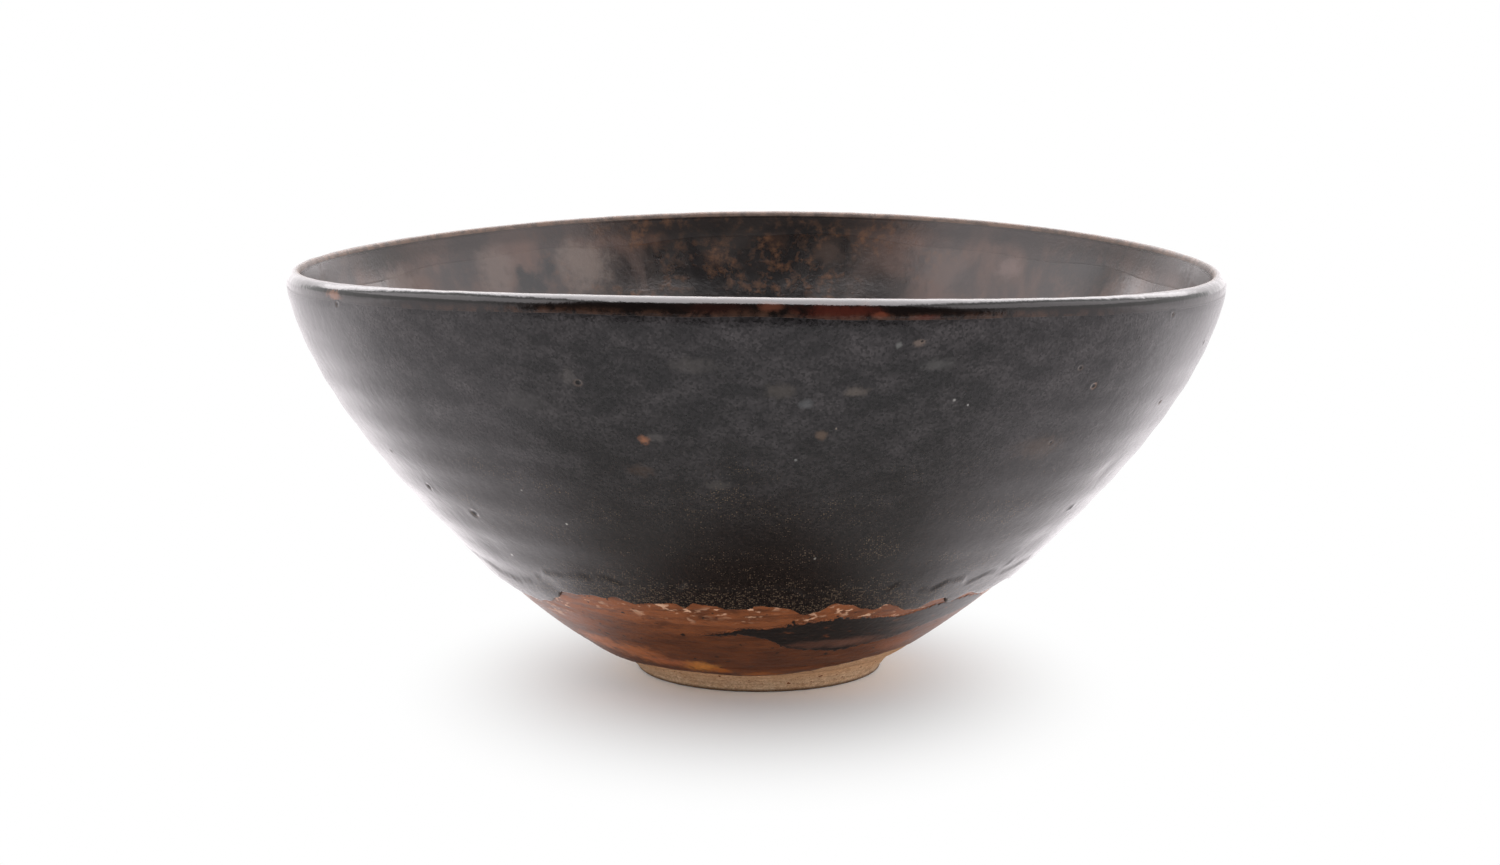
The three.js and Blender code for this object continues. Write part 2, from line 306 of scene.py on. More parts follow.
print("front card", round(2 * math.degrees(math.atan(1.3 / 1.1))), "degrees wide")

# %% [markdown]
# ## The thrown form
# A bowl is a profile that turns round an axis, but a real one has left the wheel: its rim sank on two
# sides in the kiln, its low wall leans, and fingers dented it while it was wet. So the profile is a
# curve, as on the wheel, and small rules then move the points that it gives. All lengths are in
# millimetres until a mesh is made.

# %% The profile's sizes
rim_radius = 74.95
rim_height = 66.2
lip_thickness = 1.8
lip_joint = 65.0  # where the wall starts to turn in towards the lip
inner_joint_height = 66.15
foot_height = 3.4
seat_radius = 22.8
shoulder_radius = 27.9
shoulder_height = foot_height + 2.8
floor_height = foot_height + 5.4
foot_radius = 20.1
foot_width = 5.0
foot_draft = 0.8
recess_radius = foot_radius - foot_width - foot_draft
recess_depth = 1.1
# Each wall leaves its start and meets its end at an angle above level, and holds it for a share.
outer_bends = (32.7, 0.214, 81.3, 0.305)
inner_bends = (0, 0.36, 72.8, 0.345)


def bezier(points, shares):
    """Points along a curve with any number of control points, for an array of shares from 0 to 1."""
    layers = [np.outer(1 - shares, a) + np.outer(shares, b) for a, b in zip(points[:-1], points[1:])]
    while len(layers) > 1:
        layers = [a * (1 - shares)[:, None] + b * shares[:, None] for a, b in zip(layers[:-1], layers[1:])]
    return layers[0]


def toward(degrees):
    """A step of length 1 at an angle above level."""
    return np.array([math.cos(math.radians(degrees)), math.sin(math.radians(degrees))])


def wall_points(start, end, start_degrees, start_share, end_degrees, end_share):
    """The control points of a wall that leaves its start and meets its end at given angles."""
    start, end = np.array(start), np.array(end)
    chord = np.linalg.norm(end - start)
    leave, arrive = chord * toward(start_degrees), chord * toward(end_degrees)
    return [start, start + start_share * leave, end - end_share * arrive, end]


def walked(start, start_facing, stretches, steps=24):
    """A curve walked from a place in stretches of (length, facing at its end), with the facing of its
    outer side in degrees: 0 looks outward and 90 looks up."""
    points, look = [np.array(start, float)], start_facing
    for length, end_look in stretches:
        for step in range(steps):
            turn = look + (end_look - look) * (step + 0.5) / steps
            points.append(points[-1] + length / steps * toward(turn + 90))
        look = end_look
    return np.array(points)


print("the foot's recess is", round(2 * recess_radius, 1), "mm across")

# %% The profile's curves
fine_shares = np.linspace(0, 1, 1500)
shoulder_bend = (
    seat_radius + 0.45 * (shoulder_radius - seat_radius),
    foot_height + 0.18 * (shoulder_height - foot_height),
)
shoulder = (shoulder_radius, shoulder_height)
shoulder_curve = bezier([(seat_radius, foot_height), shoulder_bend, shoulder], fine_shares[::10])
wall_curve = bezier(wall_points(shoulder, (rim_radius, rim_height), *outer_bends), fine_shares)
outer_curve = np.vstack([shoulder_curve[:-1], wall_curve])
inner_rim = (rim_radius - lip_thickness, rim_height)
inner_curve = bezier(wall_points((0, floor_height), inner_rim, *inner_bends), fine_shares)
outer_joint = (np.interp(lip_joint, outer_curve[:, 1], outer_curve[:, 0]), lip_joint)
outer_half = walked(outer_joint, -8.7, [(0.8, 3.0), (1.9, 90.0)])
lip_crest = outer_half[-1]
lip_top = lip_crest[1]
inner_joint = np.array([np.interp(inner_joint_height, inner_curve[:, 1], inner_curve[:, 0]), inner_joint_height])
inner_half = bezier(
    [inner_joint, inner_joint + np.array([0.13, 0.5]), lip_crest - np.array([0.2, 0]), lip_crest],
    np.linspace(0, 1, 48),
)
lip_curve = np.vstack([outer_half, inner_half[-2::-1]])
print("lip crest at", lip_crest.round(2), "inner joint at", inner_joint.round(2))
print("profile points:", len(outer_curve), "outside,", len(inner_curve), "inside,", len(lip_curve), "on the lip")

# %% Places on the clay: radius, height and the way out of the clay
# A place is (angle, radius, height, out, up), each an array with one value for each column.
def facing(curve, side):
    """Unit vectors across a curve, to its right for side 1 and to its left for side -1."""
    along = np.gradient(curve, axis=0)
    along /= np.linalg.norm(along, axis=1)[:, None]
    return side * np.column_stack([along[:, 1], -along[:, 0]])


def walk_along(curve):
    """The distance along a curve at each of its points."""
    return np.concatenate([[0], np.cumsum(np.linalg.norm(np.diff(curve, axis=0), axis=1))])


outer_facing = facing(outer_curve, 1)
inner_facing = facing(inner_curve, -1)
lip_facing = facing(lip_curve, 1)
lip_shares = np.linspace(0, 1, len(lip_curve))
lip_along = walk_along(lip_curve)
inner_along = walk_along(inner_curve)
inner_length = np.interp(inner_joint_height, inner_curve[:, 1], inner_along)
lean_most = 0.65  # the low wall leans to the left
lean_end = 0.33 * rim_height
thin_outside = 3.6  # how far below the lip the glaze is full again, outside
thin_inside = 12.0  # and inside


def smooth(share):
    """Turns an even change from 0 to 1 into one that starts and stops softly."""
    return share * share * (3 - 2 * share)


def outside(angle, height):
    """The place on the outer wall at each angle and height."""
    height = np.broadcast_to(height, angle.shape)
    lean_share = np.clip((height - foot_height) / (lean_end - foot_height), 0, 1)
    lean = lean_most * np.sin(np.pi * np.sqrt(lean_share))
    columns = (outer_curve[:, 0], *outer_facing.T)
    radius, out, up = [np.interp(height, outer_curve[:, 1], values) for values in columns]
    return angle, radius - lean * np.cos(angle), height, out, up


def inside(angle, along):
    """The place on the inner wall, by the distance along it from the middle of the floor."""
    along = np.broadcast_to(along, angle.shape)
    return [angle, *[np.interp(along, inner_along, values) for values in (*inner_curve.T, *inner_facing.T)]]


def lip(angle, share):
    """The place on the lip's round: share is 0 where it leaves the outer wall, a half on the crest,
    and 1 where it meets the inner wall."""
    share = np.broadcast_to(share, angle.shape)
    return [angle, *[np.interp(share, lip_shares, values) for values in (*lip_curve.T, *lip_facing.T)]]


def glaze_depth(height, reach=thin_outside):
    """How thick the glaze is at a height: thin on the lip, where it ran off, and full at reach below."""
    return 0.12 + 0.33 * smooth(np.clip((lip_top - height) / reach, 0, 1))


def under(angle, radius, height):
    """A place on the underside, which faces straight down."""
    ones = np.ones_like(angle)
    return angle, radius * ones, height * ones, 0 * ones, -ones


print("inner wall is", round(inner_length, 1), "mm long from the middle of the floor")

# %% [markdown]
# Marks of the hand and the kiln move every place a little: the rim's saddle, faint rings from the
# fingers, and dents. They move the clay and all the coats on it alike, so nothing comes apart.

# %% The saddle, the finger rings and the dents
saddle_height = 1.36
saddle_turn = math.radians(-7.5)
rim_tip = 0.22
front_rise = 0.38
front_turn = math.radians(-93)
warp_start = 0.3 * rim_height
ring_spacing = 5.4
ring_depth = 0.055
rings_low, rings_high, rings_fade = 12.0, 60.0, 8  # where the finger rings lie on the wall
wall_slope = 1.35  # height runs slower than the distance along the sloping wall
# Each dent: angle in degrees, height, width and depth, in mm
dents = [
    (-133, 20.5, 3.4, 0.12), (-141.5, 26, 4.5, 0.12), (-33, 27, 5, 0.12), (-30, 38.5, 3.5, 0.16),
    (-118, 24, 6, 0.14), (-62, 26, 7, 0.12), (48, 22, 4, 0.28), (112, 30, 5, 0.22), (170, 24, 4, 0.26),
]


def spot_on(place, spot_angle, spot_height, width):
    """A round swelling from 0 to 1 about a spot on the wall."""
    angle, _, height, *_ = place
    turn = (angle - math.radians(spot_angle) + np.pi) % (2 * np.pi) - np.pi
    across = turn * np.interp(spot_height, outer_curve[:, 1], outer_curve[:, 0])
    return np.exp(-(across ** 2 + (wall_slope * (height - spot_height)) ** 2) / (2 * (width / 2) ** 2))


def warped(angle, height):
    """How far the fired wall rose or sank there."""
    share = smooth(np.clip((height - warp_start) / (rim_height - warp_start), 0, 1))
    saddle = saddle_height * np.cos(2 * (angle - saddle_turn)) + rim_tip * np.cos(angle)
    return share * (front_rise * np.clip(np.cos(angle - front_turn), 0, 1) ** 3 - saddle)


def hand_marks(place):
    """How far the wall's outside stands out or in there, from rings and dents."""
    angle, _, height, *_ = place
    share = np.clip((height - rings_low) / rings_fade, 0, 1) * np.clip((rings_high - height) / rings_fade, 0, 1)
    phase = 2 * np.pi * height / ring_spacing + 0.9 * np.sin(angle + 0.4) + 0.5 * np.sin(3 * angle)
    marks = ring_depth * share * np.sin(phase) * (0.6 + 0.4 * np.sin(2 * angle + 1.1))
    for *spot, depth in dents:
        marks = marks - depth * spot_on(place, *spot)
    return marks


def points_at(place, lift=0):
    """The points, in mm, at a lift off the clay along the way out."""
    angle, radius, height, out, up = place
    far = radius + out * lift
    return np.column_stack([far * np.cos(angle), far * np.sin(angle), height + up * lift + warped(angle, height)])


def wander(points, size):
    """Smooth noise from -1 to 1 at points in mm, with swellings of about that size."""
    return np.array([noise.noise(point) for point in (points / size).tolist()])


print("dents:", len(dents))

# %% [markdown]
# ## Where each coat ends
# Glaze that melts and runs stops in a wavy line. The marks below were read off the photograph where
# it shows the edge, and carry on in the same manner round the back. Between marks the line eases from
# one height to the next, which gives the round lobes that a running glaze has.

# %% The lower edges of the glaze, the slip and the lip's dressing
# Each mark: angle in degrees and height in mm
glaze_edge_marks = [
    (-156, 18.0), (-149, 16.6), (-144, 16.3), (-139.5, 16.8), (-135, 18.0), (-131, 19.6), (-127, 19.6), (-124, 19.9),
    (-121, 19.7), (-118, 20.1), (-114.4, 19.1), (-110, 19.5), (-106, 19.8), (-104, 19.1), (-102, 20.0),
    (-98, 19.7), (-96, 19.2), (-92, 19.3), (-90, 19.9), (-86.5, 19.6), (-84, 19.2), (-80.4, 17.9),
    (-78, 18.4), (-75, 19.8), (-72.5, 19.5), (-68, 18.4), (-65.7, 18.2), (-64, 19.0), (-61.5, 18.5),
    (-58, 17.4), (-55.5, 17.2), (-52, 18.3), (-49, 18.5), (-46, 17.2), (-41, 18.4), (-35, 17.4),
    (-27, 18.7), (-18, 17.6), (-9, 18.9), (1, 17.8), (12, 19.1), (20, 18.0), (31, 18.9), (40, 17.5),
    (52, 18.6), (63, 17.7), (74, 18.9), (83, 18.1), (95, 19.3), (104, 18.2), (117, 19.6), (126, 18.7),
    (138, 20.0), (147, 19.0), (158, 19.8), (166, 18.6), (176, 19.4), (187, 18.3), (195, 19.3),
]
wash_edge_marks = [
    (-150, 3.9), (-140, 3.8), (-128, 4.1), (-115, 4.0), (-104, 3.8), (-97, 3.5), (-90, 3.5), (-84, 3.7),
    (-72, 4.3), (-65, 4.9), (-58, 5.3), (-50, 5.8), (-36, 6.1), (-20, 5.6), (0, 5.2), (25, 4.6),
    (50, 4.1), (75, 4.4), (98, 4.9), (120, 4.6), (150, 4.2), (180, 4.0),
]
rim_edge_marks = [
    (-150, 64.7), (-128, 64.6), (-112, 64.8), (-100, 64.6), (-90, 64.8), (-80, 64.4), (-72, 64.5),
    (-60, 64.8), (-45, 64.7), (-20, 64.5), (15, 64.8), (50, 64.6), (85, 64.8), (120, 64.6), (165, 64.8),
]
print("marks on the glaze's edge:", len(glaze_edge_marks))

# %% How an edge runs round the bowl
def edge_line(marks, angle, jitter, jitter_size, seed):
    """The height of an edge at each angle: eased from mark to mark, with a fine unevenness."""
    places, heights = np.array([*marks, marks[0]], float).T
    turned = (np.degrees(angle) - places[0]) % 360
    places = np.append(places[:-1] - places[0], 360)
    index = np.clip(np.searchsorted(places, turned, side="right") - 1, 0, len(places) - 2)
    share = (turned - places[index]) / (places[index + 1] - places[index])
    line = heights[index] + (heights[index + 1] - heights[index]) * smooth(share)
    circle = np.column_stack([np.cos(angle), np.sin(angle), np.full_like(angle, seed)]) * 40
    return line + jitter * wander(circle, jitter_size)


def glaze_edge(angle):
    return edge_line(glaze_edge_marks, angle, 0.16, 1.1, 0.3)


def columns_round(count):
    return np.arange(count) * 2 * np.pi / count


test_line = glaze_edge(columns_round(720))
print("glaze edge from", test_line.min().round(1), "to", test_line.max().round(1), "mm")

# %% [markdown]
# ## From rows of points to a piece
# Each piece is made of rows of points, one row above the next, and each row goes once round the
# bowl. A coat is a closed tube of rows: out along its face, round its edge, and back along its
# underside, which sits a hair inside what it was put on, as a fused coat does. The clay closes to
# a single point on the axis at both ends. The mesh also keeps a number at each point, such as the
# distance from the coat's edge, which the materials read to change colour there.

# %% Build a mesh from rows
def piece_of(name, points, faces, readings):
    """A smooth object from points in mm, with the numbers that the materials read at each point."""
    mesh = bpy.data.meshes.new(name)
    mesh.from_pydata((points * millimetre).tolist(), [], faces)
    mesh.polygons.foreach_set("use_smooth", np.ones(len(mesh.polygons), bool))
    for key, values in readings.items():
        layer = mesh.attributes.new(key, "FLOAT", "POINT")
        layer.data.foreach_set("value", np.concatenate(values).astype(np.float32))
    mesh.update()
    print(name, len(mesh.polygons), "faces")
    return placed(name, mesh)


def piece_from_rows(name, rows, closing, readings=None):
    """Joins rows of points into a closed piece. closing is tube, where the last row meets the first,
    or ball, where the first and the last row are one point each on the axis."""
    counts = [len(row) for row in rows]
    starts = np.concatenate([[0], np.cumsum(counts)])
    faces = []
    pairs = [(index, index + 1) for index in range(len(rows) - 1)]
    if closing == "tube":
        pairs.append((len(rows) - 1, 0))
    for upper, lower in pairs:
        width = max(counts[upper], counts[lower])
        here = np.arange(width)
        there = (here + 1) % width
        a, b = starts[upper], starts[lower]
        block = np.column_stack([
            a + there % counts[upper], a + here % counts[upper], b + here % counts[lower], b + there % counts[lower],
        ])
        if 1 in (counts[upper], counts[lower]):  # triangles that meet in the point on the axis
            block = block[:, 1:] if counts[upper] == 1 else block[:, :3]
        faces.extend(block.tolist())
    return piece_of(name, np.vstack(rows), faces, readings or {})


def dress(piece, node, material):
    """Gives a piece its material, and lets it stand for its node in the frame."""
    piece.data.materials.append(material)
    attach(piece, "root")
    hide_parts(node)


print("every piece is one closed mesh")

# %% [markdown]
# ## The clay
# The body only shows as a narrow band over the foot and in the hollow under it, so its rows are
# close there and wide apart under the coats. A potter trims this part with a metal tool, which
# drags grains of sand and leaves fine rings.

# %% Shape the clay body
sink = 0.06  # how far a coat's underside sits inside what carries it
trim_grain = 0.05
nipple_height = 0.7  # what the tool leaves in the middle of the recess
nipple_radius = 3.2
clay_columns = columns_round(540)
clay_rows = [np.array([[0, 0, floor_height]])]


def clay_grain(place, depth):
    """The roughness of trimmed, sandy clay, in mm."""
    points = points_at(place)
    return depth * (wander(points, 0.9) + 0.6 * wander(points + 31.0, 0.45))


clay_rows += [points_at(inside(clay_columns, along)) for along in np.linspace(0.04, 1, 22) * inner_length]
clay_rows += [points_at(lip(clay_columns, share)) for share in (0.8, 0.62, 0.5, 0.38, 0.2)]
for height in np.linspace(lip_joint, 8.5, 30):
    place = outside(clay_columns, height)
    clay_rows.append(points_at(place, hand_marks(place)))
for height in np.linspace(8.0, foot_height + 0.05, 26):
    place = outside(clay_columns, height)
    clay_rows.append(points_at(place, clay_grain(place, trim_grain) * min(1, (height - foot_height) / 0.6)))
for radius, height in (
    (seat_radius, foot_height),
    (recess_radius + 0.2, foot_height),
    (recess_radius, foot_height + 0.05),
    (recess_radius - 0.5, foot_height + 0.75 * recess_depth),
    (recess_radius - 1.2, foot_height + 0.97 * recess_depth),
):
    clay_rows.append(points_at(under(clay_columns, radius, height)))
for radius in np.linspace(recess_radius - 1.8, 0.4, 40):
    spiral = 0.05 * np.sin(2 * np.pi * radius / 1.3 + clay_columns)
    nipple = nipple_height * np.clip(1 - radius / nipple_radius, 0, 1) ** 1.5
    place = under(clay_columns, radius, foot_height + recess_depth - nipple)
    clay_rows.append(points_at(place, spiral + clay_grain(place, trim_grain)))
clay_rows.append(np.array([[0, 0, foot_height + recess_depth - nipple_height]]))
clay_body = piece_from_rows("thrown_clay", clay_rows, "ball")

# %% [markdown]
# ## The foot ring
# The ring stands on the table on a flat face, which wear has rounded at its edges. Its outside flares
# up into the bowl. Fine trimming rings run round it, with small chips and open grains.

# %% Shape the foot ring
foot_columns = columns_round(540)
foot_edge = 0.55  # how round wear has made its edges
foot_shift = 0.5  # the ring's table side sits a little to the right of the seat
foot_fuller = 0.3  # the flare is fuller than a straight one
foot_inner = foot_radius - foot_width


def foot_profile():
    """The ring's outline, from the seat down the outside, along the table and up the inside."""
    bend = (foot_radius + 0.62 * (seat_radius - foot_radius), foot_edge + 0.45 * (foot_height - foot_edge))
    flare = bezier([(seat_radius, foot_height), bend, (foot_radius, foot_edge)], np.linspace(0, 1, 26))
    round_out = [
        (foot_radius - foot_edge * (1 - math.cos(turn)), foot_edge * (1 - math.sin(turn)))
        for turn in np.radians([20, 40, 60, 80, 90])
    ]
    flat_start, flat_end = foot_radius - foot_edge - 0.3, foot_inner + foot_edge + 0.3
    flat = [(radius, 0.0) for radius in np.linspace(flat_start, flat_end, 8)]
    round_in = [
        (foot_inner + foot_edge * (1 - math.sin(turn)), foot_edge * (1 - math.cos(turn)))
        for turn in np.radians([0, 25, 50, 75, 90])
    ]
    wall = [
        (foot_inner - foot_draft * share, foot_edge + (foot_height - foot_edge) * share)
        for share in (0.2, 0.45, 0.7, 1.0)
    ]
    return np.array([*flare.tolist(), *round_out, *flat, *round_in, *wall])


outline = foot_profile()
foot_rows = []
for radius, height, out, up in np.hstack([outline, facing(outline, 1)]):
    place = [foot_columns, *[value * np.ones_like(foot_columns) for value in (radius, height, out, up)]]
    free = min(1.0, height / 0.5) * min(1.0, (foot_height - height) / 0.4)
    turning = 0.03 * np.sin(2 * np.pi * height / 0.75 + 0.4 * np.sin(foot_columns))
    fuller = foot_fuller * math.sin(math.pi * min(1, height / foot_height)) * (radius > foot_radius - 1)
    shift = np.array([foot_shift * (1 - height / foot_height), 0, 0])
    relief = free * (turning + clay_grain(place, 0.07) - 0.03 + fuller)
    foot_rows.append(points_at(place, relief) + shift)
seat_rows = np.linspace(recess_radius + 1.5, seat_radius - 1.0, 4)
foot_rows += [points_at(under(foot_columns, radius, foot_height)) for radius in seat_rows]
foot_ring = piece_from_rows("trimmed_foot_ring", foot_rows, "tube")

# %% [markdown]
# ## The coats
# Each coat is laid by one function: rows of places on the clay, the height of the coat's face over
# the clay at each, and the height of what carries it. The face starts and ends a hair below its
# carrier, so its edge closes into the surface with no gap.

# %% Lay a coat over the clay
def lay_coat(name, coat, keys, under_step):
    """A closed coat. coat has an entry for each row of its face: its place on the clay, how far the
    face and the carrier stand off the clay there, and a reading for each key."""
    backs = coat[-1 - under_step:0:-under_step]
    rows = [points_at(place, face) for place, face, *_ in coat]
    rows += [points_at(place, carrier - sink) for place, _, carrier, *_ in backs]
    values = {
        key: [np.broadcast_to(row[3 + number], row[0][0].shape) for row in (*coat, *backs)]
        for number, key in enumerate(keys)
    }
    return piece_from_rows(name, rows, "tube", values)


def eased_step(value, low, high):
    """0 below low, 1 above high, eased between."""
    return smooth(np.clip((value - low) / (high - low), 0, 1))


wash_thickness = 0.2
wash_overlap = 4.4
glaze_thickness = 0.45


def wash_lift(height, edge, top):
    """How thick the slip is at a height, thinning out at its two edges."""
    return wash_thickness * eased_step(height, edge, edge + 0.5) * (1 - eased_step(height, top - 1.2, top))


print("glaze", glaze_thickness, "mm, slip", wash_thickness, "mm")

# %% [markdown]
# ### The iron slip
# This is a watery brown clay, wiped round the trimmed foot while the bowl turned. It is thin enough
# that the tool's rings show through it, and the brush has left faint level ridges.

# %% Shape the iron slip
slip_columns = columns_round(1080)
slip_low = edge_line(wash_edge_marks, slip_columns, 0.12, 1.6, 0.7)
slip_glaze = glaze_edge(slip_columns)
slip_top = slip_glaze + wash_overlap


def brush_ridges(place):
    """Faint level ridges and a fine grain."""
    points = points_at(place)
    return 0.028 * wander(points * np.array([0.3, 0.3, 1.8]), 0.9) + 0.022 * wander(points + 7.0, 0.6)


slip_rows = []
for share in np.concatenate([np.linspace(0, 0.06, 6), np.linspace(0.07, 0.78, 74), np.linspace(0.8, 1, 8)]):
    height = slip_low + (slip_top - slip_low) * share
    place = outside(slip_columns, height)
    thick = wash_lift(height, slip_low, slip_top)
    marks = hand_marks(place)
    edge = -sink if share in (0, 1) else 0
    face = marks + thick + edge + brush_ridges(place) * (thick / wash_thickness)
    slip_rows.append((place, face, marks, height - slip_low, slip_glaze - height))
iron_slip = lay_coat("iron_slip", slip_rows, ("above_edge", "below_glaze"), 12)

# %% [markdown]
# ### The black glaze outside
# The bowl was dipped rim first, so the glaze is even on the wall, thin on the lip, and thick in a
# roll where it ran and stopped. Bubbles that burst while it melted left pinholes, and sand under it
# left small scars. Those that the photograph shows are listed by place.

# %% Pinholes and crumbs in the outer glaze
# Each pit: angle in degrees, height, width across and depth, in mm
pits = [
    (-138.4, 32.4, 1.2, 0.34), (-146.7, 35.7, 0.9, 0.28), (-110.3, 55.1, 0.95, 0.34), (-47.1, 54.1, 0.9, 0.26),
    (-50.5, 57.1, 0.7, 0.22), (-27.6, 49.4, 0.8, 0.24), (-35.3, 64, 0.6, 0.24), (-50.2, 45.6, 0.6, 0.16),
    (-145.5, 64.4, 0.7, 0.26), (-72.2, 61.6, 0.5, 0.18), (-151, 41, 0.6, 0.18), (-20, 58, 0.7, 0.22),
    (15, 44, 0.9, 0.28), (41, 57, 0.7, 0.24), (66, 35, 0.8, 0.26), (97, 50, 1, 0.3), (131, 42, 0.7, 0.22),
    (158, 56, 0.9, 0.28), (184, 33, 0.8, 0.24),
]
# Crumbs of clay caught under the glaze: angle, height, width and rise
crumbs = [
    (-131.5, 19, 1.2, 0.1), (-36, 23, 1.2, 0.12), (-31.5, 32, 0.9, 0.18), (-72.8, 62.1, 1.2, 0.05),
    (-103, 48, 0.9, 0.06), (-84, 41.5, 0.7, 0.06), (25, 30, 1, 0.16), (142, 27, 1.1, 0.18),
]


def pit_share(place):
    """1 in the middle of a pinhole, and 0 away from it."""
    return sum(spot_on(place, *spot, width * 0.8) for *spot, width, _ in pits)


def kiln_marks(place):
    """Pinholes with their low walls, and crumbs, in mm."""
    marks = np.zeros_like(place[0])
    for *spot, width, depth in pits:
        marks -= depth * spot_on(place, *spot, width * 0.8)
        marks += 0.3 * depth * spot_on(place, *spot, width * 1.7)
    for *spot, rise in crumbs:
        marks += rise * spot_on(place, *spot)
    return marks


print(len(pits), "pinholes,", len(crumbs), "crumbs")

# %% Shape the outer glaze
glaze_columns = columns_round(1600)
low = glaze_edge(glaze_columns)
roll = 0.52 + 0.08 * np.sin(11 * glaze_columns + 0.5) - 0.04 * (low - 18.8)
nose = 0.42  # how far above its edge the roll is fullest
roll_height = 2.4
glaze_rows = []
for share in (0.53, 0.48, 0.4, 0.3, 0.2, 0.1):
    place = lip(glaze_columns, share)
    thin = glaze_depth(place[2]) if share < 0.5 else -sink
    glaze_rows.append((place, thin, 0, lip_joint - low))
for share in np.concatenate([np.linspace(0, 0.94, 190), np.linspace(0.945, 1, 22)]):
    height = lip_joint + (low + nose - lip_joint) * share
    place = outside(glaze_columns, height)
    up = height - low
    carrier = hand_marks(place) + wash_lift(height, low - 9, low + wash_overlap)
    body = glaze_depth(height) + (roll - glaze_thickness) * np.exp(-((up - nose) / roll_height) ** 2)
    points = points_at(place)
    peel = eased_step(lip_joint - height, 0, 3) * (0.016 * wander(points, 1.5) + 0.05 * wander(points + 50.0, 9.0))
    glaze_rows.append((place, carrier + body + peel + kiln_marks(place), carrier, up))
for turn in np.radians([72, 54, 36, 18, 0]):
    height = low + nose * (1 - math.cos(turn))
    place = outside(glaze_columns, height)
    carrier = hand_marks(place) + wash_thickness
    glaze_rows.append((place, carrier - sink + (roll + sink) * math.sin(turn), carrier, height - low))
glaze_rows = [(*row, pit_share(row[0])) for row in glaze_rows]
black_glaze = lay_coat("black_glaze_outside", glaze_rows, ("above_edge", "pit"), 24)

# %% [markdown]
# ### The black glaze inside
# Poured in, swirled and tipped out. It pools a little on the floor of the bowl, so it closes to a
# point on the axis on both its faces.

# %% Shape the inner glaze
inner_columns = columns_round(720)
inner_rows = [np.array([[0, 0, floor_height + 0.6]])]
inner_under = [np.array([[0, 0, floor_height - sink]])]
for share in np.linspace(0.01, 1, 150):
    place = inside(inner_columns, share * inner_length)
    points = points_at(place)
    pool = 0.15 * (1 - eased_step(share, 0.02, 0.3))
    rings = 0.02 * np.sin(2 * np.pi * share * inner_length / 6.5 + np.sin(inner_columns)) * eased_step(share, 0.1, 0.3)
    relief = 0.012 * wander(points, 1.6) + 0.03 * wander(points + 20, 12.0)
    free = 1 - eased_step(share, 0.85, 0.94)
    inner_rows.append(points_at(place, glaze_depth(place[2], thin_inside) + pool + free * (rings + relief)))
under_shares = np.linspace(0.05, 1, 12)
inner_under += [points_at(inside(inner_columns, share * inner_length), -sink) for share in under_shares]
for share in (0.9, 0.8, 0.7, 0.6, 0.52):
    place = lip(inner_columns, share)
    inner_rows.append(points_at(place, glaze_depth(place[2], thin_inside)))
inner_rows.append(points_at(lip(inner_columns, 0.47), -sink))
inner_glaze = piece_from_rows("black_glaze_inside", [*inner_rows, *inner_under[::-1]], "ball")

# %% [markdown]
# ### The lip's dressing
# The lip was dipped once more, to about 3 mm outside and 5.5 mm inside. The glaze ran off its crest
# while it was molten, and it is glossier and redder there than on the wall.

# %% Shape the dressing of the lip
rim_columns = columns_round(1440)
rim_low = edge_line(rim_edge_marks, rim_columns, 0.12, 2.5, 0.9)
rim_glaze_thickness = 0.15
dipped = 4.6 + 0.7 * np.sin(3 * rim_columns) + 0.5 * np.sin(7 * rim_columns + 1) + 0.3 * np.sin(16 * rim_columns + 2)
outer_reach = lip_joint - rim_low
rim_rows = []


def rim_row(place, thick, up, inward, dry=0.0):
    carrier = glaze_depth(place[2], thin_inside if inward > 0 else thin_outside)
    rim_rows.append((place, carrier + thick, carrier, up, inward, dry))


for share in np.linspace(0, 0.999, 9):
    height = rim_low + outer_reach * share
    up = height - rim_low
    thick = rim_glaze_thickness * eased_step(up, 0, 1.8) - sink * (share == 0)
    rim_row(outside(rim_columns, height), thick, up, 0.0)
for share in np.linspace(0.02, 0.98, 44):
    place = lip(rim_columns, share)
    dry = eased_step(share, 0.38, 0.58) * (1 - eased_step(share, 0.86, 1.0))
    points = points_at(place)
    uneven = 0.045 * wander(points, 4.0) + 0.02 * wander(points, 1.3)
    up = outer_reach + np.interp(share, lip_shares, lip_along)
    thick = rim_glaze_thickness * eased_step(up, 0, 1.8) + uneven * math.sin(math.pi * share)
    rim_row(place, thick, up, max(0.0, 2 * share - 1), dry)
for share in np.linspace(0.07, 1, 14):
    thick = rim_glaze_thickness * (1 - eased_step(share, 0, 1)) - sink * (share == 1.0)
    rim_row(inside(rim_columns, inner_length - dipped * share), thick, outer_reach + 4.0, 1.0 + share)
lip_dressing = lay_coat("lip_dressing", rim_rows, ("above_edge", "inward", "crest"), 6)

# %% [markdown]
# ### The dark streak
# A drip of thin black glaze was wiped across the slip. Its outline is ragged, and it thins out to
# brown at its edges.

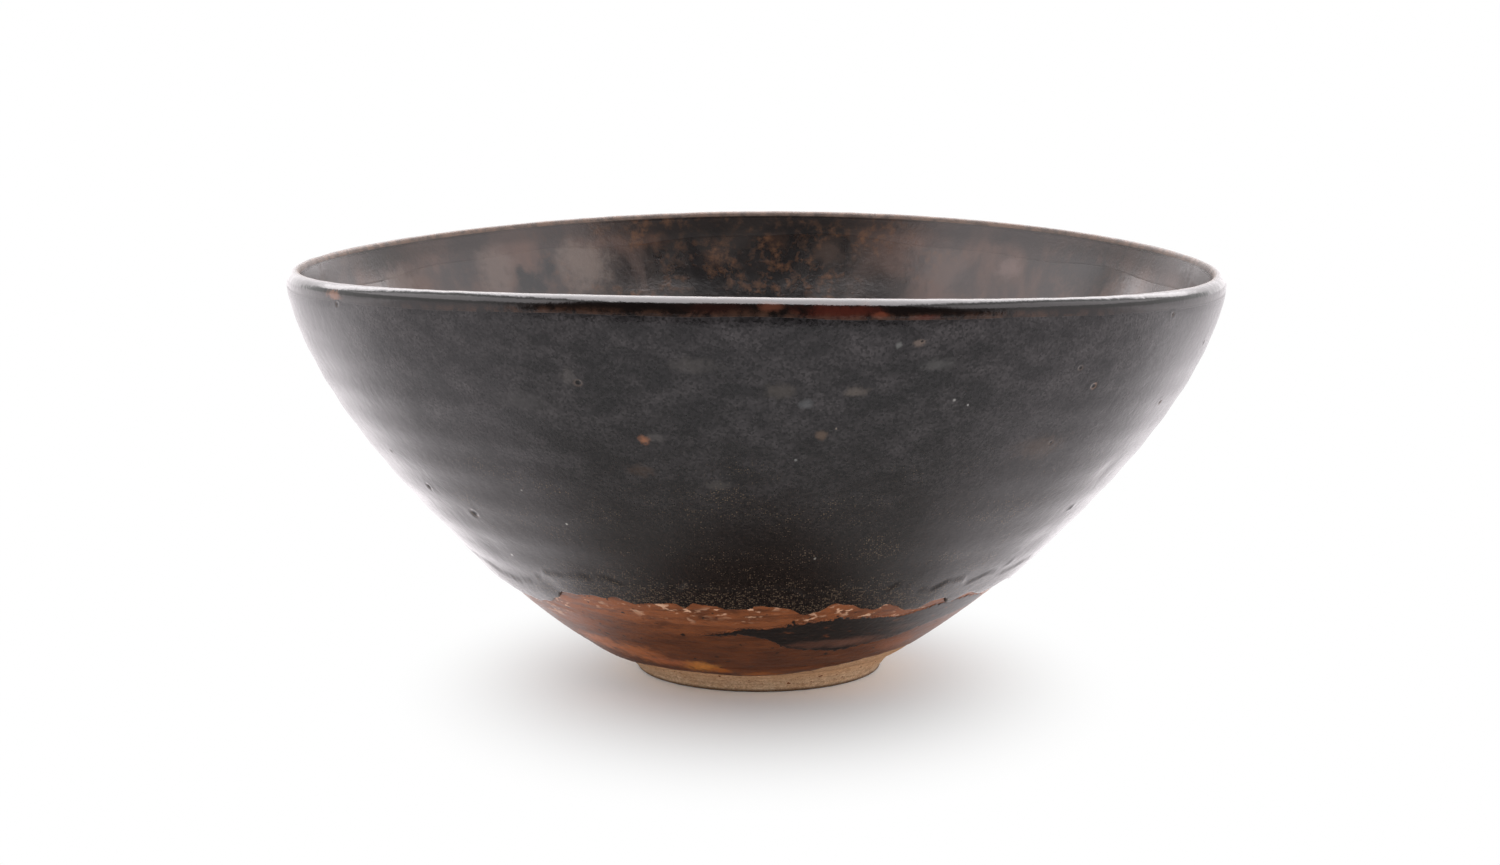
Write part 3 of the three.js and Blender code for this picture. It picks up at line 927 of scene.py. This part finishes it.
# %% Close a patch between two grids of points
def patch_from_grids(name, top, base, readings):
    """A closed patch between a grid of points on its face and one on its underside."""
    deep, wide = len(top), len(top[0])
    grid = np.arange(deep * wide).reshape(deep, wide)
    corners = (grid[:-1, :-1], grid[:-1, 1:], grid[1:, 1:], grid[1:, :-1])
    face = np.column_stack([corner.ravel() for corner in corners])
    rim = np.concatenate([grid[0, :], grid[1:, -1], grid[-1, -2::-1], grid[-2:0:-1, 0]])
    rim_next = np.roll(rim, -1)
    side = np.column_stack([rim_next, rim, rim + grid.size, rim_next + grid.size])
    quads = np.vstack([face, face[:, ::-1] + grid.size, side])
    values = {key: [*reading, *reading] for key, reading in readings.items()}
    return piece_of(name, np.vstack([*top, *base]), quads.tolist(), values)


print("a patch is closed by a band round its two grids")

# %% Shape the streak
# Each mark: angle in degrees and height in mm
streak_top_marks = [
    (-104, 13.5), (-98, 14), (-94, 15), (-89, 15), (-85, 15.4), (-81, 16.1), (-77, 16.3), (-72, 16.7),
    (-63, 16.3), (-57, 15.7), (-52.6, 16.4), (-48, 17), (-44, 17.1), (-38, 17.3), (-32, 16.8), (-26, 15.6),
]
streak_low_marks = [
    (-104, 13.3), (-98.5, 13.3), (-94, 13.7), (-89, 13), (-85.6, 12.1), (-84, 11), (-79, 10.2),
    (-73, 9.7), (-67, 9.3), (-62, 9.9), (-56, 10.4), (-50, 11.1), (-47, 11.8), (-41, 12.7), (-34, 13.4),
    (-26, 14),
]
streak_angles = np.radians(np.linspace(-104, -26, 430))
flat_line = np.column_stack([np.degrees(streak_angles), np.zeros(430), np.zeros(430)])
line_top = np.interp(flat_line[:, 0], *np.array(streak_top_marks).T)
line_top = line_top + 0.28 * wander(flat_line, 1.3) + 0.2 * wander(flat_line + 9, 0.5)
line_low = np.interp(flat_line[:, 0], *np.array(streak_low_marks).T)
line_low = line_low + 0.28 * wander(flat_line + 21, 1.5) + 0.2 * wander(flat_line + 33, 0.55)
line_low = np.minimum(line_low, line_top - 0.12)
ends = np.clip(np.minimum(streak_angles - streak_angles[0], streak_angles[-1] - streak_angles) / 0.05, 0, 1)
streak_points, streak_base, streak_cover = [], [], []
for across in np.linspace(0, 1, 46):
    height = line_low + (line_top - line_low) * across
    place = outside(streak_angles, height)
    cover = np.clip((line_top - line_low) * min(across, 1 - across) / 0.35, 0, 1) * ends
    base = hand_marks(place) + wash_thickness + brush_ridges(place)
    face = base + np.where(cover > 0, 0.03 + 0.12 * np.sqrt(cover), -sink)
    streak_points.append(points_at(place, face))
    streak_base.append(points_at(place, base - 2 * sink))
    streak_cover.append(cover)
glaze_streak = patch_from_grids("dark_streak", streak_points, streak_base, {"cover": streak_cover})

# %% [markdown]
# ## Finishes
# Every finish reads the place of the surface in millimetres, so a pattern's scale can be the real
# one. Iron glaze is a glass with very little light coming back out of it. What gives it its greys is
# what it mirrors: little where it faces the eye, and more and more where it turns away.

# %% Start and end a material
def new_material(name):
    """A material that has nothing yet but the surface's place in mm."""
    material, tree = empty_material(name)
    where = add(tree, "TexCoord").outputs["Object"]
    place = add(tree, "Mapping", {"Vector": where, "Scale": (1000, 1000, 1000)}).outputs[0]
    return material, place


def reading(place, name):
    """The number that a piece keeps at each of its points."""
    return add(place, "Attribute", attribute_name=name).outputs["Fac"]


def mottle(place, size, detail, roughness, distortion=0.0):
    """A noise with patches of about a size in mm."""
    looks = {"Vector": place, "Scale": 1 / size, "Detail": detail, "Roughness": roughness, "Distortion": distortion}
    return add(place, "TexNoise", looks).outputs["Fac"]


def cells(place, size):
    """Small cells: a number that each has for itself, and the distance from the middle of each."""
    cell = add(place, "TexVoronoi", {"Vector": place, "Scale": 1 / size})
    tone = add(place, "SeparateColor", {"Color": cell.outputs["Color"]})
    return tone.outputs[0], cell.outputs["Distance"]


def finish(material, colour, roughness, skin, strength, depth, **constants):
    """Ends a material: its colour, its gloss, the relief of its skin by its strength and its depth in
    mm, and the shader's constants."""
    tree = material.node_tree
    bump = add(tree, "Bump", {"Height": skin, "Strength": strength, "Distance": depth * millimetre})
    looks = {name.replace("_", " "): value for name, value in constants.items()}
    looks |= {"Base Color": colour, "Roughness": roughness, "Normal": bump.outputs[0]}
    shader = add(tree, "BsdfPrincipled", looks)
    add(tree, "OutputMaterial", {"Surface": shader.outputs[0]})
    print(material.name, "has", len(tree.nodes), "nodes")


def surface_place(angle_degrees, height, wall):
    """A place on a wall as a point in mm."""
    angle = np.array([math.radians(angle_degrees)])
    return points_at(wall(angle, np.array([height])), 0.4)[0]


print("a new material starts with the place in mm")

# %% [markdown]
# Stains, burst bubbles and wiped places are single marks. Each is a soft ellipse about one place on
# the wall, made ragged by a noise, and it tints the colour that is there already.

# %% Tint a colour at marked places
def tinted(place, colour, marks, ragged, wall=outside):
    """Each mark: angle in degrees, height, width and rise in mm, strength, colour."""
    for angle_degrees, height, width, rise, strength, hex_colour in marks:
        centre = surface_place(angle_degrees, height, wall)
        away = away_from(tuple(centre), place, (2 / width, 2 / width, 2 / rise))
        covered = eased(maths("MULTIPLY_ADD", ragged, -1.6, away), 0.3, -0.6, strength)
        colour = mixed(covered, colour, hex_colour)
    return colour


print("marks tint a colour one after another")

# %% [markdown]
# ### Satin black iron glaze, outside
# Common name: tenmoku-type iron glaze, cooled slowly so that tiny crystals make it satin. Each
# crystal is about a quarter of a millimetre. Grey clouds are where they are dense, high on the wall,
# and tan dust is iron that came out at the surface low on the wall, where the glaze is thick.

# %% Finish of the outer glaze: the ground of crystals and clouds
glaze_out, place = new_material("satin_black_iron_glaze")
crystal_size = 0.34  # about 0.25 on the bowl, and drawn coarser so that they show
cloud_size = 6.0
wall_height = axes(place)[2]
high_on_wall = eased(wall_height, 25.0, 56.0)
flat_place = stretched(place, (1.0, 1.0, 1.8))
clouds = mottle(flat_place, cloud_size, 5.0, 0.6)
ground = mixed(high_on_wall, "#1b1411", "#1f1d1e")
clouded = mixed(times(ramp(clouds, 0.4, 0.78), high_on_wall), ground, "#3e3a3b")
grain = ramp(cells(place, crystal_size)[0], 0, 1, 0.45, 1.6)
grained = add(place, "VectorMath", {0: clouded, "Scale": grain}, operation="SCALE").outputs[0]
print("crystals", crystal_size, "mm, clouds", cloud_size, "mm")

# %% Finish of the outer glaze: tan dust
dust_size = 0.32
dust_where = ramp(mottle(flat_place, 10.0, 4.0, 0.6), 0.3, 0.7)
dust_share = times(dust_where, eased(wall_height, 55.0, 36.0))
dust_share = greatest(dust_share, eased(reading(place, "above_edge"), 9.0, 1.5))
dust_tone, dust_middle = cells(place, dust_size)
dust_edge = maths("MULTIPLY_ADD", times(dust_share, dust_tone), -0.7, dust_middle)
dusted = mixed(ramp(dust_edge, 0.02, -0.18, end=0.65), grained, "#6b5a49")
print("dust", dust_size, "mm")

# %% Finish of the outer glaze: single marks and pinholes
glaze_marks = [
    (-103.6, 47.1, 2.1, 1.7, 0.65, "#a56d4e"), (-102, 47.5, 3.6, 1.6, 0.22, "#7f7876"),
    (-82.4, 48.2, 2.4, 2, 0.55, "#6e5a4c"), (-79, 54.5, 4.4, 2, 0.45, "#6b6058"),
    (-87.5, 54.6, 6, 3, 0.35, "#5e5650"), (-84.6, 52.7, 2.6, 2, 0.4, "#6f7072"),
    (-72.5, 61.4, 2.8, 1.3, 0.6, "#75655c"), (-74.8, 61, 1.2, 1.4, 0.5, "#7d7d7b"),
    (-70, 58.4, 7, 2.2, 0.3, "#6a6866"), (-97, 58, 9, 3, 0.22, "#66605c"), (-111.3, 56, 3, 3, 0.2, "#77706c"),
    (-118, 52, 12, 4, 0.16, "#6b6766"), (-104.8, 42.5, 5, 2.6, 0.35, "#4e3a2c"),
    (-95, 40.5, 5, 2, 0.35, "#57524e"), (-52, 45, 12, 5, 0.3, "#5a4536"),
    (-47.1, 54.1, 1.2, 1.2, 0.8, "#a2765c"), (-27.6, 49.4, 1.3, 1.2, 0.7, "#8a5c44"),
    (-65.2, 52.3, 0.5, 0.6, 0.9, "#b9b6b4"), (-80.8, 49.2, 0.4, 1, 0.8, "#a9998a"),
    (-85.3, 44.5, 0.6, 0.6, 0.7, "#8f8d8b"), (-67.1, 53.1, 0.5, 0.6, 0.8, "#9a9794"),
    (-80.9, 28.6, 0.5, 1.3, 0.8, "#938d86"), (-137.5, 25.4, 0.7, 0.7, 0.9, "#d8d4d0"),
    (-119, 33, 0.5, 0.6, 0.8, "#bdb9b4"), (-124, 38, 0.5, 0.5, 0.7, "#a39f9a"),
    (-146.4, 65.3, 3, 0.8, 0.6, "#a4745c"), (36, 52, 2, 1.6, 0.7, "#9a6a4c"),
    (118, 47, 1.8, 1.4, 0.7, "#9a6a4c"), (64, 41, 7, 3, 0.35, "#5a4536"), (150, 52, 8, 3, 0.3, "#66625f"),
    (88, 57, 6, 2.4, 0.3, "#6a6866"), (171, 38, 6, 3, 0.35, "#57483c"),
]
marked = tinted(place, dusted, glaze_marks, mottle(place, 1.2, 4.0, 0.65))
pit_reading = reading(place, "pit")
# a pale ring round each pinhole, partly its rim's own colour and partly a painted highlight; then painted shade, near
# black, in the middle of each pinhole
pit_rim_and_painted_highlight = mixed(ramp(pit_reading, 0.05, 0.4, end=0.35), marked, "#7d6a5e")
with_painted_pit_shade = mixed(ramp(pit_reading, 0.35, 0.6), pit_rim_and_painted_highlight, "#070505")
satin = ramp(clouds, 0.3, 0.7, 0.16, 0.23)
finish(glaze_out, with_painted_pit_shade, satin, mottle(place, 0.45, 2.0, 0.7), strength=0.4, depth=0.1, IOR=1.4)

# %% [markdown]
# ### Satin black iron glaze, inside
# The same glaze, but poured: it ran down in soft curtains, brown where it is thin and blue-black
# where it is thick, and painted lighter and browner towards the left and right. One flame-shaped patch
# near the lip stayed thick. The lip's dressing overlaps this glaze, and has to look like it there, so
# its colour is made by a function that both can use.

# %% Colour of the poured glaze
def high_inside(angle, height):
    """A place on the inner wall by its height."""
    return inside(angle, np.interp(height, inner_curve[:, 1], inner_along))


inner_marks = [
    (117, 59, 14, 14, 0.7, "#76665d"), (131.5, 59.5, 11, 14, 0.7, "#73625a"),
    (138.5, 61, 11, 13, 0.75, "#2c2727"), (151, 60, 12, 8, 0.8, "#74625b"), (126.3, 56.5, 8, 7.5, 1, "#151314"),
    (122.4, 58.6, 4, 9.5, 1, "#151314"), (127.6, 58.4, 2.6, 5, 1, "#151314"),
    (60, 58.5, 12, 13, 0.5, "#5b4e4a"), (52, 65, 9, 4, 0.7, "#1f1b1b"), (49, 59.5, 7, 5, 0.8, "#75605a"),
    (36, 61, 26, 12, 0.9, "#2a2626"), (105.5, 62.5, 7, 4, 0.6, "#5c4032"), (96, 59, 6, 5, 0.4, "#553a2a"),
    (87, 62, 6, 5, 0.4, "#4f382b"), (79, 60, 7, 8, 0.45, "#513c31"),
]


def poured_colour(place):
    """The mottled colour of the glaze inside, the noise that its gloss follows, and where it is rusty."""
    curtains = mottle(stretched(place, (1.0, 1.0, 0.6)), 9.0, 4.0, 0.55, 0.5)
    thin = eased(curtains, 0.36, 0.64)
    thick = mixed(thin, "#171313", "#2c2522")
    # towards the left and right the glaze is lighter and browner: partly thin brown glaze, and partly painted light
    # where those sides face the side lamps
    brown_and_painted_light = mixed(thin, "#382d2a", "#5e473e")
    sideways = maths("ABSOLUTE", axes(place)[0])
    painted_side_light = eased(maths("MULTIPLY_ADD", curtains, 8.0, sideways), 19.0, 34.0)
    ground = mixed(painted_side_light, thick, brown_and_painted_light)
    rust = eased(mottle(place, 1.6, 4.0, 0.62), 0.44, 0.76, 0.75)
    rusty_places = ramp(mottle(place, 7.0, 2.0, 0.5), 0.42, 0.62)
    rust_share = times(rust, rusty_places, ramp(sideways, 42.0, 22.0, start=0.12))
    marked = tinted(place, ground, inner_marks, mottle(place, 2.4, 5.0, 0.6), high_inside)
    return mixed(rust_share, marked, "#7a5236"), curtains, rust_share


print("marks inside:", len(inner_marks))

# %% Finish of the inner glaze
glaze_in, place = new_material("poured_black_iron_glaze")
poured, curtains, _ = poured_colour(place)
satin = ramp(curtains, 0.3, 0.7, 0.17, 0.25)
finish(glaze_in, poured, satin, mottle(place, 0.8, 3.0, 0.6), strength=0.25, depth=0.1, IOR=1.5)

# %% [markdown]
# ### Glossy black to rust, on the lip
# Thick glaze is black and thin glaze is rust-red, so the colour follows the coat: brown in a fringe
# at its lower edge, wine-red in one smear at the front, and pale tan on the crest, where nearly all
# of it ran off. It has a bright, wet gloss outside. Inside it fades into the poured glaze through a
# band of painted shade under the lip, with painted sheen at its left and right ends.

# %% Colour of the lip, outside and on its crest
glaze_lip, place = new_material("glossy_lip_glaze")
up_reading = reading(place, "above_edge")
inward_reading = reading(place, "inward")
crest_reading = reading(place, "crest")
blotch = mottle(place, 1.8, 4.0, 0.6)
smear = mottle(stretched(place, (1.0, 1.0, 3.0)), 6.0, 4.0, 0.6)
red_marks = [
    (-81.5, 65.6, 15, 2.8, 0.75, "#4c1f16"), (-88.4, 66.2, 4.6, 1.8, 0.7, "#63392a"),
    (-94.5, 65.9, 11, 3, 0.6, "#2b1410"), (-77, 65.2, 3, 1, 0.8, "#6a3424"), (-72, 64.9, 6, 1, 0.7, "#54261c"),
    (-146.4, 65.7, 6, 1.8, 0.7, "#94644c"),
]
reddened = tinted(place, mixed(smear, "#0c0807", "#1a1210"), red_marks, blotch)
at_front = ramp(axes(place)[1], -52.0, -66.0, start=0.15)
fringe_share = times(eased(up_reading, 1.3, 0.2, 0.6), ramp(blotch, 0.4, 0.62), at_front)
fringed = mixed(fringe_share, reddened, "#543a2d")
crest_share = times(ramp(crest_reading, 0.1, 0.9, end=0.85), ramp(blotch, 0.38, 0.58, start=0.45))
crested = mixed(crest_share, fringed, mixed(blotch, "#7b6a60", "#83604a"))
print("marks on the lip:", len(red_marks))

# %% Finish of the lip, with the way it fades inside
poured, _, rusty = poured_colour(place)
inner_blend = eased(inward_reading, 0.7, 1.1)
# painted shade: a darker band on the inner wall just under the lip, where the lip shades it; rust follows the same
# band
painted_shade_and_rust_band = eased(inward_reading, 1.75, 1.3, 0.6)
with_painted_shade_and_rust = mixed(painted_shade_and_rust_band, poured, "#2a2220")
with_painted_shade_and_rust = mixed(times(rusty, painted_shade_and_rust_band), with_painted_shade_and_rust, "#7a5236")
# painted sheen: pale grey patches inside the lip at its left and right ends
painted_sheen_marks = [(2, 65.2, 26, 5, 0.55, "#8f8a8b"), (178, 65.4, 20, 4, 0.5, "#8f8a8b")]
with_painted_sheen = tinted(place, mixed(inner_blend, crested, with_painted_shade_and_rust), painted_sheen_marks, blotch, high_inside)
gloss = ramp(greatest(eased(up_reading, 0.7, 0.0), inner_blend), 0, 1, 0.14, 0.28)
dull = maths("MULTIPLY_ADD", crest_reading, 0.3, gloss)
finish(glaze_lip, with_painted_sheen, dull, mottle(place, 0.6, 3.0, 0.6), strength=0.3, depth=0.1, IOR=1.5)

# %% [markdown]
# ### Iron slip, wiped on
# Iron-rich clay with little glass of its own, which drank some of the glaze's fume: a dry sheen, with
# brush-marks, orange where it is thinnest by the foot, and pale burst specks under the glaze's edge.
# The black streak was wiped over it and shows it at its edges, so this colour too has a function.

# %% Colour of the slip
def slip_colour(place):
    """Brown with level brush-marks and iron specks, and the brush noise."""
    level_place = stretched(place, (0.3, 0.3, 1.5))
    brush = mottle(level_place, 1.5, 6.0, 0.62)
    upper = eased(axes(place)[2], 11.5, 17.5)
    lighter = maths("MULTIPLY_ADD", mottle(level_place, 5.0, 3.0, 0.5), 1.4, upper)
    base = mixed(ramp(lighter, 0.7, 1.8), "#743d17", "#a25c30")
    brushed = mixed(ramp(brush, 0.56, 0.36, end=0.65), base, "#43200e")
    return mixed(ramp(mottle(place, 1.3, 1.0, 0.5), 0.7, 0.74), brushed, "#1c0f0a"), brush


print("the slip's brown serves the streak too")

# %% Finish of the iron slip
slip_finish, place = new_material("wiped_iron_slip")
brown, brush = slip_colour(place)
ragged = mottle(place, 1.6, 4.0, 0.65)
slip_marks = [
    (-108, 6.2, 7.6, 3, 1, "#d98a36"), (-101.5, 5.4, 5, 1.6, 0.95, "#b9671f"),
    (-119, 6.6, 11, 2.6, 0.8, "#b9683a"), (-90, 4.7, 9, 1.3, 0.8, "#b9671f"), (-128, 8, 14, 5, 0.8, "#c8743c"),
    (-140, 9, 12, 5, 0.8, "#cc7a48"), (-138, 13.5, 14, 5, 0.5, "#a5623f"), (-46, 9, 12, 4, 0.5, "#a8633e"),
    (-84, 7, 12, 4, 0.5, "#5c3019"), (-104, 9.5, 10, 3, 0.35, "#5e331c"), (10, 7, 16, 4, 0.6, "#b8683c"),
    (95, 7, 20, 4, 0.6, "#bf6c34"), (150, 9, 14, 5, 0.5, "#8a4d2b"),
]
marked = tinted(place, brown, slip_marks, ragged)
line_share = times(ramp(reading(place, "above_edge"), 0.45, 0.1, end=0.6), ramp(ragged, 0.4, 0.55))
lined = mixed(line_share, marked, "#48220f")
speck = ramp(mottle(stretched(place, (0.6, 0.6, 1.3)), 1.1, 2.0, 0.6), 0.56, 0.62)
speck_band = ramp(reading(place, "below_glaze"), 3.8, 1.2)
speck_where = ramp(mottle(place, 5.0, 1.0, 0.5), 0.38, 0.55)
specked = mixed(times(speck, speck_band, speck_where), lined, "#f0bf9c")
dry = ramp(brush, 0.3, 0.7, 0.32, 0.5)
dry_sheen = {"IOR": 1.5, "Sheen_Roughness": 0.35, "Sheen_Tint": linear("#fff0ec")}
finish(slip_finish, specked, dry, brush, strength=0.6, depth=0.3, Sheen_Weight=0.09, **dry_sheen)

# %% [markdown]
# ### Thin black glaze over slip
# Black where it lies full. Its edges were wiped so thin that the slip shows through, and so does one
# long island near its lower right.

# %% Finish of the streak
streak_finish, place = new_material("thin_wiped_black_glaze")
brown, _ = slip_colour(place)
wiped = mottle(stretched(place, (0.45, 0.45, 1.5)), 1.3, 5.0, 0.68)
full = eased(maths("MULTIPLY_ADD", wiped, 4.0, reading(place, "cover")), 2.05, 2.7)
streak_marks = [
    (-66, 11.3, 16, 2.6, 1, "#6b4636"), (-77, 11.4, 9, 1.8, 1, "#5c3a2b"), (-52, 13.2, 9, 1.6, 0.5, "#54382a"),
    (-80, 14.6, 5, 1, 0.4, "#2c2017"),
]
island = tinted(place, mixed(full, brown, "#1b1613"), streak_marks, wiped)
finish(streak_finish, island, 0.4, wiped, strength=0.35, depth=0.2, Sheen_Weight=0.08, **dry_sheen)

# %% [markdown]
# ### Bare stoneware
# Fired without glaze, it is matt and buff, with pale sand, dark iron specks, and an orange flush where
# the slip's edge is near. A painted contact shade darkens the rounded edge that it stands on.

# %% Finish of the bare clay
clay_finish, place = new_material("bare_buff_stoneware")
clay_height = axes(place)[2]
buff = mixed(ramp(mottle(place, 5.0, 5.0, 0.65), 0.34, 0.68), "#cda986", "#e3c8a8")
sand = mottle(place, 0.45, 3.0, 0.7)
sandy = mixed(ramp(sand, 0.3, 0.66), "#9d7a5c", buff)
flushed = mixed(eased(clay_height, 1.2, 3.6, 0.45), sandy, "#d6a274")
specked = mixed(ramp(mottle(place, 0.9, 1.0, 0.5), 0.69, 0.73), flushed, "#7a4526")
# painted contact shade: the lowest part of the foot is darkened where it meets the table
painted_contact_shade = mixed(eased(clay_height, 0.75, 0.25, 0.85), specked, "#46301f")
finish(clay_finish, painted_contact_shade, 0.85, sand, strength=0.5, depth=0.2, IOR=1.45)

# %% Dress every piece
dress(clay_body, "clay_body", clay_finish)
dress(foot_ring, "foot_ring", clay_finish)
dress(iron_slip, "iron_wash", slip_finish)
dress(glaze_streak, "glaze_streak", streak_finish)
dress(black_glaze, "outer_glaze", glaze_out)
dress(inner_glaze, "inner_glaze", glaze_in)
dress(lip_dressing, "rim_glaze", glaze_lip)
